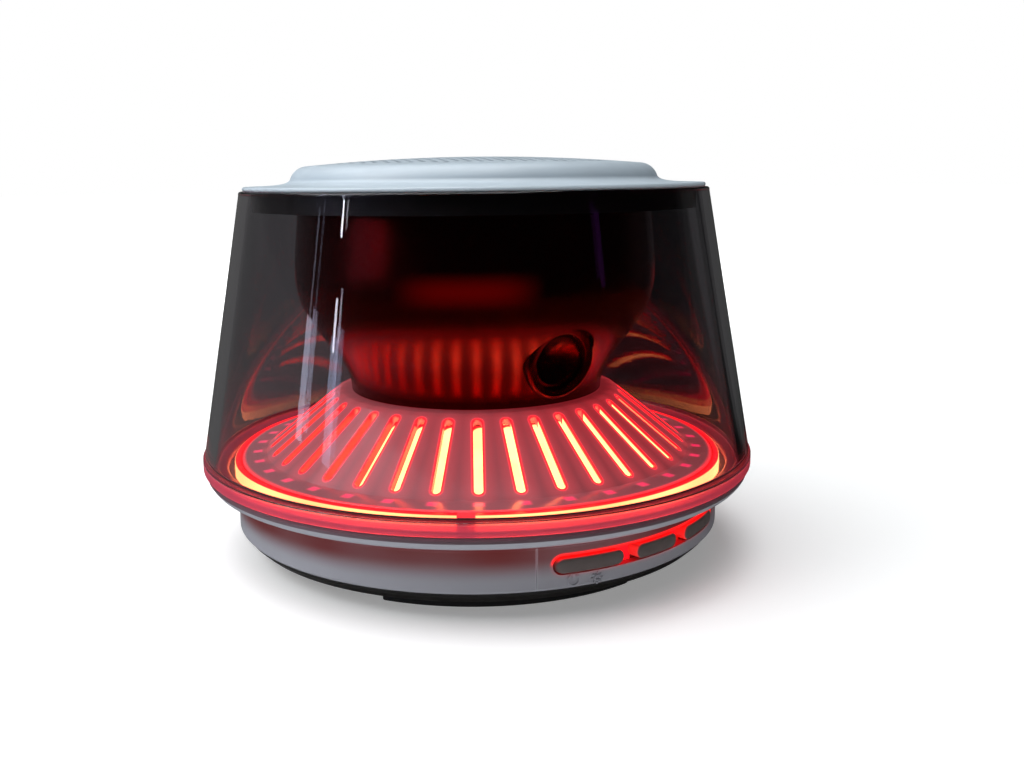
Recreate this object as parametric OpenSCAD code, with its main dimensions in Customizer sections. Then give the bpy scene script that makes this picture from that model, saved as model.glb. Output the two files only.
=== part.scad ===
// Table-top alarm siren: a smoked cone lens over a lit, slotted deck, with the sounder
// in a glossy column under a perforated cap. Millimetres, +Z up, z = 0 at the resting
// plane, control panel at the front (-Y).

/* [Overall] */
// Widest diameter, at the foot of the lens
widest_d = 130; // [130:0.5:134]
// Height from the resting plane to the crown of the grille
overall_h = 90.5; // [90.5:0.1:92]

/* [Lens] */
// Diameter of the lens at its top edge
lens_top_d = 107.8; // [107.4:0.1:109]
// Height of the lens top edge
lens_top_z = 83.3; // [83.3:0.1:83.5]
// Wall thickness of the lens
lens_wall = 2.4; // [1.8:0.1:2.4]

/* [Base] */
// Outer diameter of the base wall
base_d = 114.8; // [114.8:0.1:115.6]
// Wall thickness of the base
base_wall = 2; // [1.8:0.1:2]
// Height of the feet
foot_h = 2.2; // [1.8:0.1:2.2]

/* [Slotted deck] */
// How many light slots the deck has
slot_count = 36; // [24:4:36]
// Width of a light slot
slot_w = 1.9; // [1.2:0.1:2]
// Radius and height of the outer end of a slot
slot_outer = [49.25, 24.1]; // [22:0.05:50]
// Radius and height of the inner end of a slot
slot_inner = [34.35, 35.8]; // [33:0.05:37]

/* [Controls] */
// Half of the angle that the control panel spans
panel_half_angle = 28.8; // [28:0.1:30]
// Half of the width of the slot that the buttons share
button_slot_half_w = 24.8; // [24.8:0.1:25.2]
// Height of a button
button_h = 3.2; // [2.8:0.1:3.2]
// Height of the row of buttons above the resting plane
button_z = 10.9; // [10.8:0.1:11]
// How far a button travels when it is pressed
button_travel = 0.6; // [0.4:0.1:0.6]

/* [Sounder] */
// Radius of the voice coil former
coil_r = 9.1; // [9:0.05:9.1]

/* [Hidden] */
$fn = 96;
eps = 0.01;
cut = 1;                  // how far a cutter runs past the face it cuts

widest_r = widest_d / 2;
lens_top_r = lens_top_d / 2;
base_r = base_d / 2;
base_in_r = base_r - base_wall;

// Levels, from the bottom up
base_z = 6.05;            // lower edge of the base wall
floor_z = foot_h + 1.8;   // inside floor of the bottom cover
shelf_z = [13.6, 15.1];   // shelf that carries the light board
panel_top_z = 15.2;
led_board_t = 1.6;
ledge_z = 19.4;           // ledge that carries the light guide
flange_z = 20.3;          // face that the lens foot sits on
gap_z = 19.7;             // floor of the shadow gap under the lens edge
guide_z = 22.6;           // top of the light guide
deck_top_z = 36.9;
column_top_z = 81;
carrier_top_z = 83.25;

// Radii
shelf_r = 51;
guide_r = [56.2, 57.8];
flange_r = 64.15;
column_foot_r = 29.85;
column_bore_r = 25;
driver_r = 39.9;
grille_r = 36.6;
dome_edge = [38.2, 88.75];            // where the crown meets the rounded shoulder
dome_r = (pow(dome_edge[0], 2) + pow(overall_h - dome_edge[1], 2))
    / (2 * (overall_h - dome_edge[1]));
shoulder_r = 4.25;
cover_t = 1.6;
grille_t = 1;

// Buttons: centre and width of each, measured across the front
side_button_w = 14.7;
middle_button_w = 12.4;
side_button_x = 16.85;
switch_x = [-side_button_x, 0, side_button_x];
button_skin_r = base_r + 0.1;
button_back_r = base_in_r - 0.4;
strip_r = [52.9, 54];
switch_board_y = -45;
switch_tip_y = -49;

// Azimuths, in degrees from the front, positive towards +X
deck_boss_az = [45, 135, 225, 315];
cover_boss_az = [-55, 60, 150, 240];
foot_az = [-32, 58, 148, 238];
foot_half_angle = 32;
guide_gap_az = -42.5;
guide_gap = 3.6;
port_az = 180;

boss_r = 49.5;
cover_boss_r = 45.5;      // the cover screws sit under the feet
post_r = 28;
board_r = 31;

// Headers along the back of the main board, one for each lead
header_x = [-18, -9, 0, 9, 18];
header_y = 16.5;
header_top_z = 23.3;

// Sounder levels
yoke_z = 50.5;
magnet_z = 53.5;
plate_z = 61.5;
frame_z = 64.5;

// ---- Helpers ----

// Points of an arc about [x, z], from angle a0 to a1, in n steps
function arc(x, z, r, a0, a1, n = 6) =
    [for (i = [0 : n]) let (a = a0 + (a1 - a0) * i / n) [x + r * cos(a), z + r * sin(a)]];

// Points of a cubic curve through p0 and p3, pulled towards p1 and p2
function curve(p0, p1, p2, p3, n = 8) =
    [for (i = [0 : n]) let (t = i / n, s = 1 - t)
        s * s * s * p0 + 3 * s * s * t * p1 + 3 * s * t * t * p2 + t * t * t * p3];

// Height of the crown at radius r, dropped by d
function dome_z(r, d = 0) = overall_h - d - dome_r + sqrt(dome_r * dome_r - r * r);

function dome_arc(r0, r1, d, n = 5) =
    [for (i = [0 : n]) let (r = r0 + (r1 - r0) * i / n) [r, dome_z(r, d)]];

function reversed(list) = [for (i = [len(list) - 1 : -1 : 0]) list[i]];

// Places a child at azimuth a, at radius r from the axis
module at_az(a, r = 0, z = 0) {
    rotate([0, 0, a]) translate([0, -r, z]) children();
}

module tube(r_out, r_in, z0, z1) {
    translate([0, 0, z0]) difference() {
        cylinder(r = r_out, h = z1 - z0);
        translate([0, 0, -cut]) cylinder(r = r_in, h = z1 - z0 + 2 * cut);
    }
}

module post(r, z0, z1) {
    translate([0, 0, z0]) cylinder(r = r, h = z1 - z0);
}

module block(x, y, z) {
    translate([x[0], y[0], z[0]]) cube([x[1] - x[0], y[1] - y[0], z[1] - z[0]]);
}

// A flat bar with round ends, along X and centred. The ends stand 0.02 mm proud of the
// sides so that no face is tangent to another.
module pill(length, width, height) {
    cube([length - width, width - 0.04, height], center = true);
    for (side = [-1, 1])
        translate([side * (length - width) / 2, 0, 0])
            cylinder(d = width, h = height, center = true);
}

// A pill that runs front to back through the front wall
module pill_through(x, length, width, depth = 16) {
    translate([x, -base_r, button_z]) rotate([90, 0, 0]) pill(length, width, depth);
}

// A wedge between two azimuths
module wedge(a0, a1, r, z0, z1) {
    reach = r / cos((a1 - a0) / 2);
    translate([0, 0, z0]) linear_extrude(z1 - z0) polygon([
        [0, 0],
        [reach * sin(a0), -reach * cos(a0)],
        [reach * sin((a0 + a1) / 2), -reach * cos((a0 + a1) / 2)],
        [reach * sin(a1), -reach * cos(a1)]
    ]);
}

// A round wire through a list of points, with a ball at each bend
module wire(points, d) {
    for (i = [0 : len(points) - 2]) {
        run = points[i + 1] - points[i];
        translate(points[i])
            rotate([0, acos(run[2] / norm(run)), atan2(run[1], run[0])])
                cylinder(d = d, h = norm(run), $fn = 24);
    }
    for (i = [1 : len(points) - 2])
        translate(points[i]) rotate([37, 53, 0]) sphere(d = 1.15 * d, $fn = 24);
}

// A lead's path moved sideways by a step, except that its end stays on the header
function beside(points, step) =
    [for (i = [0 : len(points) - 1])
        points[i] + (i == len(points) - 1 ? [step[0], step[1], 0] : step)];

// A pan-head screw, head up, seated at z = 0
module screw(d, length, head_d, head_h) {
    difference() {
        cylinder(d = head_d, h = head_h);
        translate([0, 0, head_h - 0.6]) cube([head_d * 0.55, 0.6, 2], center = true);
        translate([0, 0, head_h - 0.6]) cube([0.6, head_d * 0.55, 2], center = true);
    }
    translate([0, 0, -length]) cylinder(d = d, h = length + eps);
}

// ---- Base ----

module feet() {
    color([0.05, 0.05, 0.05])
    for (a = foot_az)
        intersection() {
            rotate_extrude() polygon([
                [42.3, 0], [48.7, 0], [49.3, 0.5], [49.3, foot_h], [41.8, foot_h], [41.8, 0.5]
            ]);
            wedge(a - foot_half_angle, a + foot_half_angle, 60, -cut, foot_h + cut);
        }
}

module bottom_cover() {
    color([0.1, 0.1, 0.11])
    difference() {
        union() {
            rotate_extrude() polygon([
                [0, foot_h], [50.6, foot_h], [54.4, 3.5], [56.2, 5.2], [56.4, base_z - 0.05],
                [base_in_r - 0.3, base_z - 0.05], [base_in_r - 0.3, 7.6], [base_in_r - 1.8, 7.6],
                [base_in_r - 1.8, 5.4], [52.4, floor_z], [0, floor_z]
            ]);
            for (a = [0 : 90 : 270])
                at_az(a, post_r) post(2.5, floor_z - cut, 17.2);
            for (side = [-1, 1])
                translate([side * 5.5, 46, 0]) post(1.6, floor_z - cut, 8);
        }
        for (a = [0 : 90 : 270])
            at_az(a, post_r, 12.6) cylinder(r = 1.05, h = 8);
        for (a = cover_boss_az) {
            at_az(a, cover_boss_r, foot_h - cut) cylinder(r = 1.5, h = 8);
            at_az(a, cover_boss_r, foot_h - cut) cylinder(r = 2.8, h = cut + 0.9);
        }
    }
}

module cover_screws() {
    color([0.55, 0.56, 0.58])
    for (a = cover_boss_az)
        at_az(a, cover_boss_r, foot_h + 0.9) mirror([0, 0, 1]) screw(2.3, 8.5, 4.6, 0.85);
}

module base_shell() {
    rotate_extrude() polygon(concat(
        [[base_in_r, base_z], [base_r - 0.6, base_z], [base_r, base_z + 0.6]],
        [[base_r, 14.7], [base_r + 0.4, 15.7], [base_r + 1.4, 16.4]],
        [[62.4, 17.15], [63.2, 17.6], [63.7, 18.2], [flange_r, 18.9], [flange_r - 0.1, 19.4]],
        [[flange_r - 0.45, gap_z], [flange_r - 1.2, gap_z], [flange_r - 1.2, flange_z]],
        [[guide_r[1] + 0.3, flange_z], [guide_r[1] + 0.3, ledge_z]],
        [[base_in_r, ledge_z], [base_in_r, shelf_z[1]], [shelf_r, shelf_z[1]]],
        [[shelf_r, shelf_z[0]], [base_in_r, shelf_z[0]]]
    ));
}

// A screw post and the rib that ties it to the wall and the shelf
module cover_boss(a) {
    at_az(a, cover_boss_r) post(3.2, floor_z + 0.05, shelf_z[0] + 0.7);
    rotate([0, 0, a])
        block([-0.9, 0.9], [-base_in_r - 0.5, -cover_boss_r], [7.8, shelf_z[0] + 0.4]);
}

module base_housing() {
    color([0.86, 0.87, 0.89])
    difference() {
        union() {
            base_shell();
            for (a = cover_boss_az)
                cover_boss(a);
        }
        // Window that the control panel closes
        difference() {
            wedge(-panel_half_angle - 0.1, panel_half_angle + 0.1, 70, 0, panel_top_z + 0.05);
            translate([0, 0, -cut]) cylinder(r = base_in_r - eps, h = 20);
        }
        // Screw holes
        for (a = cover_boss_az)
            at_az(a, cover_boss_r, floor_z - cut) cylinder(r = 1.2, h = 8.8);
        for (a = deck_boss_az)
            at_az(a, boss_r, shelf_z[0] - cut) cylinder(r = 2.9, h = 4);
        // Mouth of the charging socket
        at_az(port_az, base_r, 10.8) rotate([90, 0, 0]) pill(9.8, 3.9, 8);
        // Groove for the lens gasket
        tube(62, 60, flange_z - 0.8, flange_z + cut);
    }
}

module control_panel() {
    color([0.84, 0.85, 0.87])
    difference() {
        intersection() {
            rotate_extrude() polygon([
                [base_in_r + 0.1, base_z], [base_r - 0.6, base_z], [base_r, base_z + 0.6],
                [base_r, 14.7], [base_r + 0.15, panel_top_z], [base_in_r + 0.1, panel_top_z]
            ]);
            wedge(-panel_half_angle, panel_half_angle, 70, 0, 20);
        }
        translate([0, 0, 0.15])
            pill_through(0, 2 * button_slot_half_w, button_h + 0.8);
    }
}

// A press button: curved face, retaining tab below, stem to its switch
module button(x, width) {
    intersection() {
        tube(button_skin_r, button_back_r, 0, 20);
        pill_through(x, width, button_h, 12);
    }
    intersection() {
        tube(button_back_r + 0.2, button_back_r - 0.5, 8.2, button_z - 1.2);
        block([x - width / 2 + 1, x + width / 2 - 1], [-60, -40], [0, 20]);
    }
    intersection() {
        block([x - 2, x + 2], [-60, switch_tip_y - button_travel - 0.1],
            [button_z - 1, button_z + 1]);
        cylinder(r = button_back_r + 0.3, h = 20);
    }
}

module power_button() {
    color([0.62, 0.62, 0.63]) button(-side_button_x, side_button_w);
}

module mode_button() {
    color([0.62, 0.62, 0.63]) button(0, middle_button_w);
}

module test_button() {
    color([0.62, 0.62, 0.63]) button(side_button_x, side_button_w);
}

module button_light_strip() {
    color([1, 0.12, 0.08])
    difference() {
        intersection() {
            tube(strip_r[1], strip_r[0], 9.9, 13.45);
            wedge(-27, 27, 70, 0, 20);
        }
        for (x = switch_x)
            block([x - 2.6, x + 2.6], [-60, -40], [0, button_z + 1.5]);
    }
}

module switch_board() {
    color([0.08, 0.3, 0.16])
        block([-23, 23], [switch_board_y, switch_board_y + 1.2], [floor_z, 13.2]);
}

module tact_switches() {
    color([0.2, 0.2, 0.21])
    for (x = switch_x) {
        block([x - 3, x + 3], [switch_board_y - 3, switch_board_y], [8, 13.3]);
        translate([x, switch_board_y - 2.9, button_z]) rotate([90, 0, 0])
            cylinder(r = 1.5, h = -switch_tip_y + switch_board_y - 2.9);
    }
}

// ---- Power and electronics ----

module battery() {
    color([0.62, 0.64, 0.68])
    translate([0, 0, floor_z]) {
        block([-25, 25], [-16, 16], [0.4, 7.6]);
        for (side = [-1, 1])
            block([-24, 24], [side * 14 - 2, side * 14 + 2], [0, 8]);
    }
}

module battery_strap() {
    color([0.15, 0.15, 0.16])
    difference() {
        block([-4, 4], [-24, 24], [floor_z, 13.2]);
        block([-10, 10], [-16.2, 16.2], [floor_z - cut, 12]);
        for (side = [-1, 1])
            block([-10, 10], [side * 21 - 3.1, side * 21 + 3.1], [floor_z + 1.2, 20]);
    }
}

module main_board() {
    color([0.05, 0.26, 0.14])
    difference() {
        post(board_r, 17.2, 18.8);
        for (a = [0 : 90 : 270])
            at_az(a, post_r, 17.2 - cut) cylinder(r = 1.2, h = 4);
    }
}

module board_components() {
    color([0.12, 0.12, 0.13]) {
        block([-8, 2], [-8, 2], [18.8, 20]);
        block([10, 17], [-6, 1], [18.8, 22.8]);
        block([-20, -15], [-2, 4], [18.8, 21]);
        for (x = header_x)
            block([x - 3.2, x + 3.2], [header_y - 2.6, header_y + 2.6], [18.8, header_top_z]);
        for (x = [-12, 12])
            translate([x, -18, 0]) post(4, 18.8, 29);
    }
}

module board_screws() {
    color([0.7, 0.7, 0.72])
    for (a = [0 : 90 : 270])
        at_az(a, post_r, 18.8) screw(2, 6, 4, 1.3);
}

module socket_board() {
    color([0.05, 0.26, 0.14])
        block([-8.5, 8.5], [43, 54.5], [8, 9.2]);
}

// A 9 x 3.2 mm shell with a tongue, open to the rear
module charge_socket() {
    color([0.72, 0.73, 0.75])
    translate([0, 52.6, 10.8]) rotate([90, 0, 0]) {
        difference() {
            pill(9, 3.2, 8);
            translate([0, 0, -1]) pill(8.4, 2.6, 8);
        }
        translate([0, 0, 0.5]) cube([6.6, 0.7, 6.9], center = true);
    }
}

// ---- Light ----

module led_board() {
    color([0.9, 0.9, 0.88])
    difference() {
        tube(52.8, 37, shelf_z[1], shelf_z[1] + led_board_t);
        for (a = deck_boss_az)
            at_az(a, boss_r, 10) cylinder(r = 1.4, h = 10);
    }
}

module leds() {
    top = shelf_z[1] + led_board_t;
    color([1, 0.35, 0.25]) {
        for (a = [0 : 20 : 340])
            at_az(a, 43, top + 0.6) cube([3, 3, 1.2], center = true);
        for (a = [0 : 30 : 330])
            at_az(a, 51.2, top + 0.7) cube([3.4, 1.4, 1.4], center = true);
    }
}

module deck_screws() {
    color([0.55, 0.56, 0.58])
    for (a = deck_boss_az)
        at_az(a, boss_r, shelf_z[1]) mirror([0, 0, 1]) screw(2.1, 5.4, 4.4, 1.3);
}

module light_guide_ring() {
    color([1, 0.25, 0.2])
    difference() {
        rotate_extrude() polygon(concat(
            [[guide_r[1], ledge_z], [guide_r[1], guide_z - 0.3]],
            arc(guide_r[1] - 0.3, guide_z - 0.3, 0.3, 0, 90, 3),
            [[guide_r[0], guide_z], [guide_r[0], flange_z], [54.6, flange_z], [54.6, ledge_z]]
        ));
        at_az(guide_gap_az, 57, 20) cube([guide_gap, 12, 12], center = true);
    }
}

module slot_diffuser() {
    color([1, 0.55, 0.45])
    difference() {
        rotate_extrude() polygon([
            [33.2, 34.15], [49.4, 21.47], [49.4, 19.97], [33.2, 32.65]
        ]);
        for (a = deck_boss_az)
            at_az(a, boss_r, 10) cylinder(r = 2.7, h = 20);
    }
}

module deck_slot() {
    run = slot_inner - slot_outer;
    mid = (slot_inner + slot_outer) / 2;
    translate([0, -mid[0], mid[1]])
        rotate([atan2(run[1], -run[0]), 0, 0])
            rotate([0, 0, 90]) pill(norm(run), slot_w, 8);
}

module slotted_deck() {
    slope = 0.6 * (slot_outer - slot_inner) / norm(slot_outer - slot_inner);
    color([0.78, 0.72, 0.72])
    difference() {
        union() {
            rotate_extrude() polygon([
                [column_bore_r, deck_top_z], [32.5, deck_top_z - 0.25],
                slot_inner - slope, slot_outer + slope,
                [50.5, 23.15], [guide_r[0] - 0.4, 22.8], [guide_r[0] - 0.2, 22.6],
                [guide_r[0] - 0.2, flange_z],
                [50, 21.6], [48.6, 22.5], [33.5, 34.3], [32.4, 34.9], [column_bore_r, 35.2]
            ]);
            for (a = deck_boss_az)
                at_az(a, boss_r) post(2.4, shelf_z[1] + led_board_t, 22.6);
        }
        for (i = [0 : slot_count - 1])
            rotate([0, 0, i * 360 / slot_count]) deck_slot();
        for (a = deck_boss_az)
            at_az(a, boss_r, 12) cylinder(r = 1.1, h = 8.8);
        for (a = [60, 180, 300])
            at_az(a, 27, 30) cylinder(r = 1.2, h = 10);
    }
}

// ---- Lens ----

module lens_gasket() {
    color([0.1, 0.1, 0.1]) tube(61.9, 60.1, flange_z - 0.8, flange_z);
}

module lens() {
    color([0.25, 0.25, 0.28, 0.45])
    rotate_extrude() polygon(concat(
        [[59.2, flange_z], [widest_r - 0.7, flange_z]],
        arc(widest_r - 0.7, flange_z + 0.7, 0.7, -75, 0, 4),
        [[widest_r, 23.2], [widest_r - 0.4, 23.5], [lens_top_r, lens_top_z - 0.9]],
        arc(lens_top_r - 0.55, lens_top_z - 0.6, 0.6, 30, 90, 3),
        [[lens_top_r - lens_wall, lens_top_z], [widest_r - 0.6 - lens_wall, 23.5]],
        [[61.2, 22.5], [59.6, 21.9], [59.2, 21.5]]
    ));
}

// ---- Column ----

// Outline of the column, from its foot to its rim
column_outline = concat(
    curve([column_foot_r, deck_top_z], [30.2, 47], [40.5, 50], [42, 62], 10),
    curve([42, 62], [42.4, 67], [41.3, 74], [40.7, column_top_z], 5)
);
column_wall = 2.6;
dish_centre = [33.4, 47.2];   // radius and height of the ring's seat
dish_tilt = 12;               // how far its axis dips below the level
dish_az = -9;
dish_r = 8.4;

// Places a child at the dish, with +Z out of the column
module at_dish() {
    rotate([0, 0, dish_az]) translate([0, -dish_centre[0], dish_centre[1]])
        rotate([90 + dish_tilt, 0, 0]) children();
}

module siren_column() {
    color([0.06, 0.05, 0.06])
    difference() {
        rotate_extrude() polygon(concat(
            column_outline,
            [[33.6, column_top_z], [33.6, column_top_z - 2.4]],
            [[column_outline[15][0] - column_wall, column_top_z - 2.4]],
            reversed([for (i = [1 : len(column_outline) - 3])
                column_outline[i] - [column_wall, 0]]),
            [[27.8, 39.4], [column_bore_r, 39.4], [column_bore_r, deck_top_z]]
        ));
        at_dish() cylinder(r = dish_r - 1, h = 14, center = true);
        at_dish() translate([0, 0, 0.1]) cylinder(r = dish_r + 0.1, h = 6);
        for (a = [60, 180, 300])
            at_az(a, 27, 30) cylinder(r = 1, h = 8.6);
        for (a = [45 : 90 : 315])
            at_az(a, 37.6, column_top_z - 2) cylinder(r = 0.9, h = 4);
    }
}

module column_screws() {
    color([0.55, 0.56, 0.58])
    for (a = [60, 180, 300])
        at_az(a, 27, 35) mirror([0, 0, 1]) screw(1.9, 3.5, 3.8, 1.2);
}

module column_dish_ring() {
    color([0.08, 0.07, 0.08])
    at_dish() rotate_extrude() polygon(concat(
        [[dish_r - 2.2, -3], [dish_r - 1.1, -3], [dish_r - 1.1, 0.1], [dish_r, 0.1]],
        arc(dish_r - 0.8, 0.9, 0.8, 0, 90, 4),
        [[dish_r - 2, 1.4], [dish_r - 2.2, 0.9]]
    ));
}

module column_dish() {
    color([0.1, 0.09, 0.1])
    at_dish() rotate_extrude() polygon(concat(
        [[0, -4.2], [dish_r - 2.3, -4.2], [dish_r - 2.3, 0.2]],
        curve([dish_r - 2.9, 0.2], [5.4, -0.2], [3.4, -2.7], [0, -2.9], 6)
    ));
}

module top_carrier() {
    color([0.07, 0.07, 0.08])
    rotate_extrude() polygon([
        [41.1, 79.3], [42.5, 79.3], [43, 81.3], [48.8, 81.3], [49.3, 78.8], [50.9, 78.8],
        [51.1, carrier_top_z], [41.1, carrier_top_z]
    ]);
}

// ---- Sounder ----

module driver_frame() {
    color([0.16, 0.16, 0.17])
    difference() {
        rotate_extrude() polygon([
            [10.6, frame_z], [23, frame_z], [33, 78.6], [33.2, column_top_z],
            [driver_r, column_top_z], [driver_r, 82.6], [33.2, 82.6], [31.6, 79],
            [24.6, 69.4], [19.6, 69.4], [19.6, 67.9], [21.6, 67.9], [20.6, 66.2], [10.6, 66.2]
        ]);
        for (a = [0 : 60 : 300])
            at_az(a, 27, 74.6) rotate([-52, 0, 0]) cube([15, 6.4, 12], center = true);
        for (a = [45 : 90 : 315])
            at_az(a, 37.6, column_top_z - cut) cylinder(r = 1.2, h = 4);
    }
}

module driver_yoke() {
    color([0.6, 0.6, 0.62]) {
        post(22, yoke_z, magnet_z);
        post(coil_r - 1, magnet_z - eps, frame_z);
    }
}

module driver_magnet() {
    color([0.14, 0.14, 0.15]) tube(25, 11, magnet_z, plate_z);
}

module driver_top_plate() {
    color([0.6, 0.6, 0.62]) tube(22, coil_r + 0.65, plate_z, frame_z);
}

module voice_coil() {
    color([0.75, 0.5, 0.25]) {
        tube(coil_r, coil_r - 0.5, 57, 72.6);
        tube(coil_r + 0.3, coil_r - 0.2, 59.5, 66.5);
    }
}

module driver_cone() {
    color([0.12, 0.12, 0.13])
    rotate_extrude() polygon([
        [coil_r + 0.05, 71.4], [coil_r + 0.9, 71.2], [20, 76.1], [29, 81.5], [29, 82.3],
        [28.4, 82.2], [19.7, 76.9], [coil_r + 0.05, 72.6]
    ]);
}

module dust_cap() {
    color([0.1, 0.1, 0.11])
    rotate_extrude() polygon(concat(
        curve([0, 76.9], [5, 76.9], [9, 75.5], [11.4, 73.56], 6),
        reversed(curve([0, 76.4], [4.8, 76.4], [8.2, 75.2], [10.6, 73.24], 6))
    ));
}

module surround() {
    color([0.05, 0.05, 0.05])
    rotate_extrude() polygon(concat(
        [[35.8, 82.6], [35.8, 83.2], [33.7, 83.2]],
        arc(31.6, 83.2, 2.3, 10, 170, 8),
        [[29.25, 82.9], [29.3, 82.3]],
        reversed(arc(31.6, 83.2, 1.8, 15, 165, 8)),
        [[33.5, 82.6]]
    ));
}

module spider() {
    ridges = 4;
    steps = 16;
    outer = 19.4;
    inner = coil_r + 0.55;
    color([0.75, 0.62, 0.3])
    rotate_extrude() polygon(concat(
        [for (i = [0 : steps]) [inner + (outer - inner) * i / steps,
            68.9 + 0.45 * sin(360 * ridges * i / steps)]],
        [for (i = [steps : -1 : 0]) [inner + (outer - inner) * i / steps,
            68.4 + 0.45 * sin(360 * ridges * i / steps)]]
    ));
}

module driver_terminals() {
    color([0.8, 0.7, 0.4])
        for (side = [-1, 1])
            block([32.5, 33.3], [side * 2 - 1.1, side * 2 + 1.1], [70.5, 77]);
    color([0.5, 0.35, 0.2])
        block([31.1, 32.5], [-5.5, 5.5], [71.5, 75.8]);
}

module driver_screws() {
    color([0.2, 0.2, 0.21])
    for (a = [45 : 90 : 315])
        at_az(a, 37.6, 82.6) screw(1.7, 3.4, 3.6, 1.2);
}

// ---- Top ----

module top_cover() {
    color([0.8, 0.86, 0.9])
    rotate_extrude() polygon(concat(
        [[40.9, lens_top_z], [lens_top_r - 1.2, lens_top_z]],
        arc(lens_top_r - 1.4, lens_top_z + 0.5, 0.5, -40, 80, 4),
        [[48, 84.45], [44.4, 84.65], [43.3, 84.95], [42.75, 85.4]],
        arc(dome_edge[0], dome_edge[1] - shoulder_r, shoulder_r, 18, 84, 8),
        [[grille_r + 0.05, dome_z(grille_r)], [grille_r + 0.05, dome_z(grille_r, grille_t)]],
        [[35.2, 87.9], [35.2, 87.2]],
        arc(dome_edge[0], dome_edge[1] - shoulder_r, shoulder_r - cover_t, 88, 5, 6)
    ));
}

module grille_plate() {
    rings = 5;
    pitch = 6;
    color([0.78, 0.84, 0.88])
    difference() {
        rotate_extrude() polygon(concat(
            dome_arc(0, grille_r, 0),
            reversed(dome_arc(0, grille_r, grille_t))
        ));
        for (k = [0 : rings], i = [0 : max(0, 6 * k - 1)])
            at_az(i * 60 / max(1, k), k * pitch, 80) cylinder(r = 1.1, h = 20);
    }
}

module grille_cloth() {
    color([0.12, 0.12, 0.13]) post(36.2, 86.6, 87);
}

// ---- Wiring: each lead runs from its part to a header on the main board ----

module sounder_leads() {
    route = [
        [32.9, 0, 70.5], [32.9, 0, 66], [26, 0, 45], [19, 4, 34],
        [header_x[4], header_y, 27], [header_x[4], header_y, header_top_z]
    ];
    color([0.7, 0.08, 0.08]) wire(beside(route, [0, 2, 0]), 1.2);
    color([0.1, 0.1, 0.1]) wire(beside(route, [0, -2, 0]), 1.2);
}

module battery_leads() {
    route = [
        [25, 10, 8], [28, 10, 8], [30, 16, 10], [30, 16, 22], [16, 22, 27],
        [header_x[3], header_y, 26.5], [header_x[3], header_y, header_top_z]
    ];
    color([0.7, 0.08, 0.08]) wire(beside(route, [0, 1.1, -0.6]), 1.2);
    color([0.1, 0.1, 0.1]) wire(beside(route, [0, -1.1, 0.6]), 1.2);
}

module light_leads() {
    route = [
        [-39.3, 13.4, 16.7], [-38.4, 14.2, 19.7], [-31.6, 17.4, 22.3], [-23, 19.6, 26.4],
        [header_x[0], header_y, 26], [header_x[0], header_y, header_top_z]
    ];
    color([0.85, 0.85, 0.85]) wire(beside(route, [0.2, 1.3, -0.4]), 1.2);
    color([0.1, 0.1, 0.1]) wire(beside(route, [-0.2, -1.3, 0.4]), 1.2);
}

module switch_leads() {
    route = [
        [-10, switch_board_y + 1.5, 6.5], [-10, -41, 6.5], [-34, -8, 9], [-33.5, 8, 12],
        [-33.5, 8, 22], [-22, 14, 28.5], [header_x[1], header_y, 28.5],
        [header_x[1], header_y, header_top_z]
    ];
    color([0.8, 0.8, 0.78])
    for (i = [-1 : 1])
        wire(beside(route, i * [1.2, -0.3, 0.8]), 0.7);
}

module socket_leads() {
    route = [
        [0, 44.5, 9.8], [0.5, 38, 12], [1, 34.2, 16.5], [0.5, 33.8, 22], [-0.5, 25, 26.5],
        [header_x[2], header_y, 26.5], [header_x[2], header_y, header_top_z]
    ];
    color([0.7, 0.08, 0.08]) wire(beside(route, [-1.2, 0, 0]), 1.2);
    color([0.1, 0.1, 0.1]) wire(beside(route, [1.2, 0, 0]), 1.2);
}

feet();
bottom_cover();
cover_screws();
base_housing();
control_panel();
power_button();
mode_button();
test_button();
button_light_strip();
switch_board();
tact_switches();
battery();
battery_strap();
main_board();
board_components();
board_screws();
socket_board();
charge_socket();
led_board();
leds();
deck_screws();
light_guide_ring();
slot_diffuser();
slotted_deck();
lens_gasket();
lens();
siren_column();
column_screws();
column_dish();
column_dish_ring();
top_carrier();
driver_frame();
driver_yoke();
driver_magnet();
driver_top_plate();
voice_coil();
driver_cone();
dust_cap();
surround();
spider();
driver_terminals();
driver_screws();
top_cover();
grille_plate();
grille_cloth();
sounder_leads();
battery_leads();
light_leads();
switch_leads();
socket_leads();
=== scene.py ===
"""The looks of a table-top alarm siren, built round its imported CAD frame."""

import math

import bmesh
import bpy
from mathutils import Matrix, Quaternion, Vector
from mathutils.geometry import delaunay_2d_cdt


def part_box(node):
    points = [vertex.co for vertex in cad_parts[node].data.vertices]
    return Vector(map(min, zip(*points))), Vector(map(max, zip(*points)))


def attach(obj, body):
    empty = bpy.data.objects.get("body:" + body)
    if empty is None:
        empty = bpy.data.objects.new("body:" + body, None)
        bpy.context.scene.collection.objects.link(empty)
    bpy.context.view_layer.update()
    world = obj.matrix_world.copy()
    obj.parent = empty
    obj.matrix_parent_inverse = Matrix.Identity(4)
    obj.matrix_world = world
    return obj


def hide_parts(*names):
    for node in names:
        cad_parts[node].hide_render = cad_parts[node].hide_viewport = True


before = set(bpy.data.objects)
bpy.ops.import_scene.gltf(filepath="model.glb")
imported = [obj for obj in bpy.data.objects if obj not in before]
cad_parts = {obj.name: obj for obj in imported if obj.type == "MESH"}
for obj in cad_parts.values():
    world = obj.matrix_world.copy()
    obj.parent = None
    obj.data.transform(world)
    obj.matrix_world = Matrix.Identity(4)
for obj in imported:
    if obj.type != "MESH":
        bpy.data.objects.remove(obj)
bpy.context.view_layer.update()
scene = bpy.context.scene

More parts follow.
